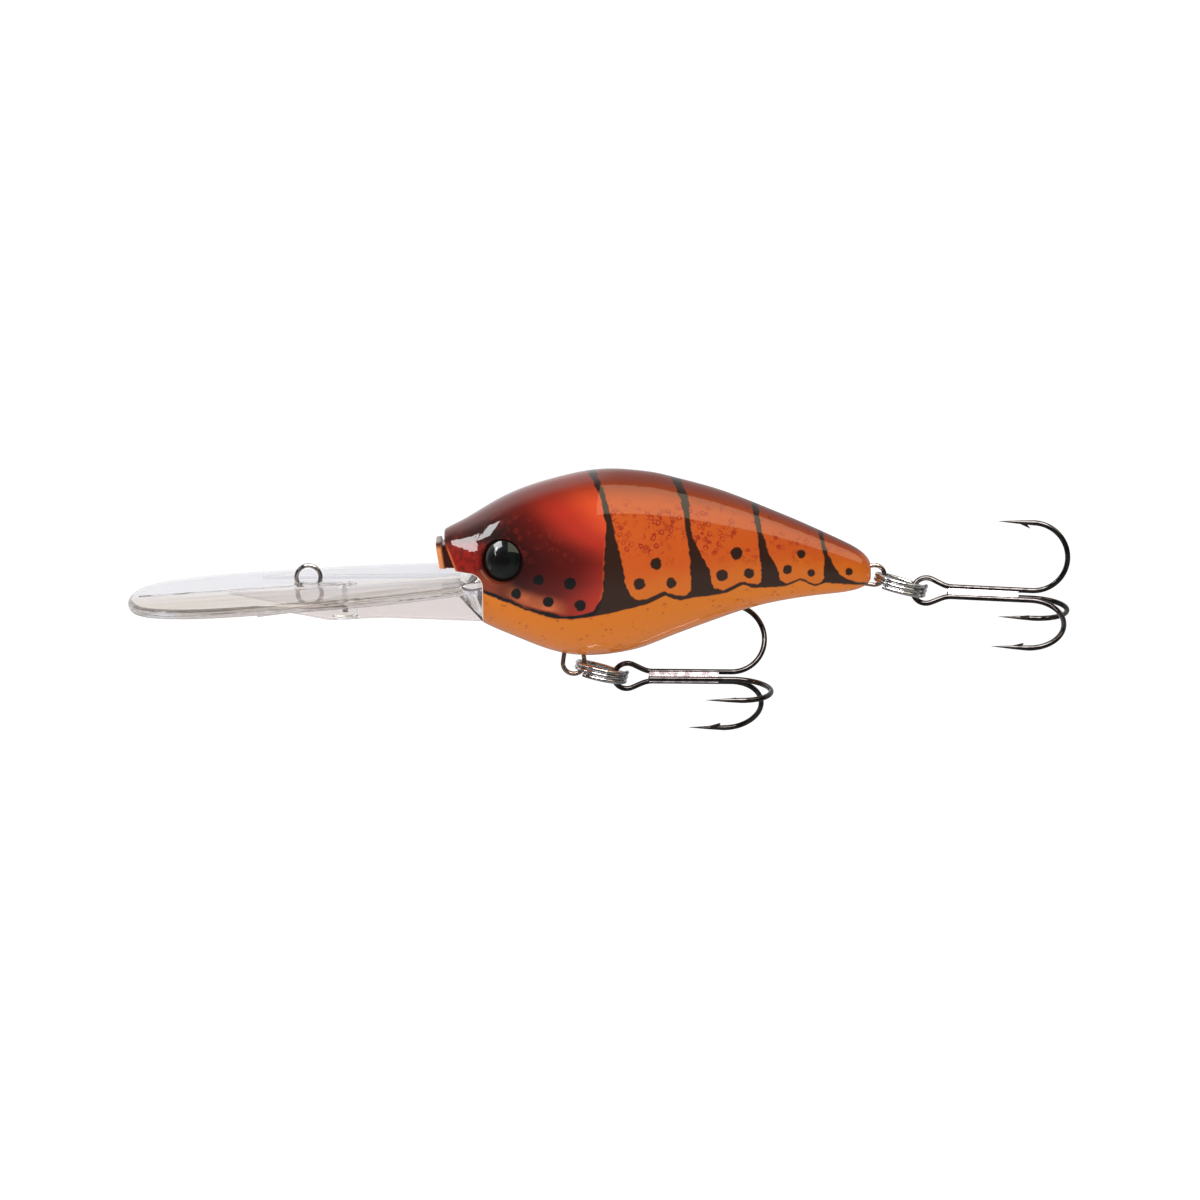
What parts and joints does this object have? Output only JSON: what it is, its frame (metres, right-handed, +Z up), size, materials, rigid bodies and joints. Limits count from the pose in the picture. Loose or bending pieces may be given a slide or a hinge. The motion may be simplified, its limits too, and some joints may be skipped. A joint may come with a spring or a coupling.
{
  "type": "crankbait lure",
  "caption": "Deep-diving crankbait: two-part hollow body, long clear lip with a line-tie ring, belly and tail treble hooks on split rings, domed eyes.",
  "frame": {"origin": "centre of the line-tie ring, where the line is tied", "axes": "+X towards the tail, +Z up, +Y to the lure's right side; the lip points to -X"},
  "size_m": [0.1525, 0.0266, 0.0454],
  "materials": {
    "body_paint": "painted and clear-coated moulded plastic",
    "clear_lip": "clear polished polycarbonate",
    "tie_wire": "bright stainless spring wire",
    "hanger_wire": "stainless spring wire",
    "split_ring": "bright nickel",
    "hook_wire": "black-nickel plated high-carbon wire",
    "hook_braze": "pale solder",
    "eye_foil": "printed black foil",
    "eye_lens": "domed clear epoxy",
    "ballast": "cast lead-free weight",
    "rattle_steel": "steel bearing balls"
  },
  "bodies": {
    "root": {"body_shell_left": "body_paint", "body_shell_right": "body_paint", "diving_lip": "clear_lip", "line_tie": "tie_wire", "belly_hanger": "hanger_wire", "tail_hanger": "hanger_wire", "ballast_weight": "ballast", "eye_disc_left": "eye_foil", "eye_disc_right": "eye_foil", "eye_dome_left": "eye_lens", "eye_dome_right": "eye_lens"},
    "belly_ring": {"belly_split_ring": "split_ring"},
    "belly_treble": {"belly_treble_double": "hook_wire", "belly_treble_single": "hook_wire", "belly_treble_braze": "hook_braze"},
    "tail_ring": {"tail_split_ring": "split_ring"},
    "tail_treble": {"tail_treble_double": "hook_wire", "tail_treble_single": "hook_wire", "tail_treble_braze": "hook_braze"},
    "rattles": {"rattle_balls": "rattle_steel"}
  },
  "joints": [
    {"name": "belly_ring_swing", "type": "hinge", "parent": "root", "child": "belly_ring", "pos_m": [0.04337, 0, -0.01445], "axis": [0, 1, 0], "range_deg": [0, 150]},
    {"name": "belly_treble_swing", "type": "hinge", "parent": "belly_ring", "child": "belly_treble", "pos_m": [0.04734, 0, -0.01546], "axis": [0.2461, 0.0872, 0.9653], "range_deg": [0, 80]},
    {"name": "tail_ring_swing", "type": "hinge", "parent": "root", "child": "tail_ring", "pos_m": [0.09172, 0, 0.00013], "axis": [0, 1, 0], "range_deg": [-100, 100]},
    {"name": "tail_treble_swing", "type": "hinge", "parent": "tail_ring", "child": "tail_treble", "pos_m": [0.09566, 0, -0.001], "axis": [0.2746, 0.0872, 0.9576], "range_deg": [-80, 80]},
    {"name": "rattle_roll", "type": "slide", "parent": "root", "child": "rattles", "axis": [1, 0, 0], "range_m": [0, 0.004]}
  ]
}
